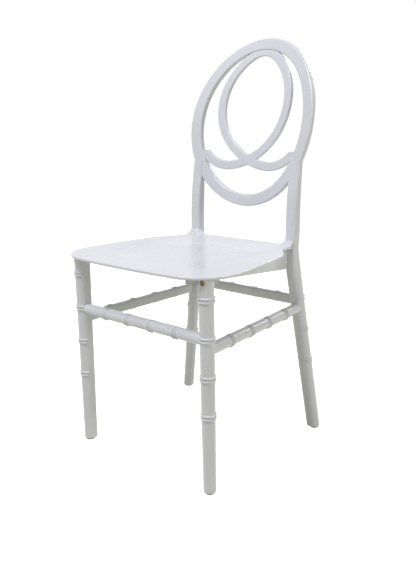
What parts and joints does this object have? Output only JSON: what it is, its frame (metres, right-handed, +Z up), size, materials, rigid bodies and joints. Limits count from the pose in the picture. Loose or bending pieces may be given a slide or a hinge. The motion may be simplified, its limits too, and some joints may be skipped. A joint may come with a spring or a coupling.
{
  "type": "chiavari chair",
  "caption": "Moulded plastic dining chair with an oval back of crossing loops, a flared thin seat and bamboo-ringed legs and stretchers.",
  "frame": {"origin": "on the floor, midway across the chair and midway between its foremost and rearmost points", "axes": "+Z up, the sitter faces -Y, +X is the sitter's left"},
  "size_m": [0.4284, 0.5154, 0.9168],
  "materials": {
    "white_plastic": "smooth moulded gloss, slightly uneven",
    "glide": "satin black",
    "yellow_zinc": "yellow zinc plating",
    "brass": "turned",
    "steel": "zinc plated"
  },
  "bodies": {
    "root": {"back_frame": "white_plastic", "seat_shell": "white_plastic", "front_leg_left": "white_plastic", "front_leg_right": "white_plastic", "front_stretcher": "white_plastic", "rear_stretcher": "white_plastic", "side_stretcher_left": "white_plastic", "side_stretcher_right": "white_plastic", "foot_glide_front_left": "glide", "foot_glide_front_right": "glide", "foot_glide_rear_left": "glide", "foot_glide_rear_right": "glide", "front_bolt_left": "yellow_zinc", "front_insert_left": "brass", "rear_bolts_left": "yellow_zinc", "rear_washers_left": "steel", "rear_inserts_left": "brass", "front_bolt_right": "yellow_zinc", "front_insert_right": "brass", "rear_bolts_right": "yellow_zinc", "rear_washers_right": "steel", "rear_inserts_right": "brass", "bolt_cap": "white_plastic"}
  },
  "joints": []
}
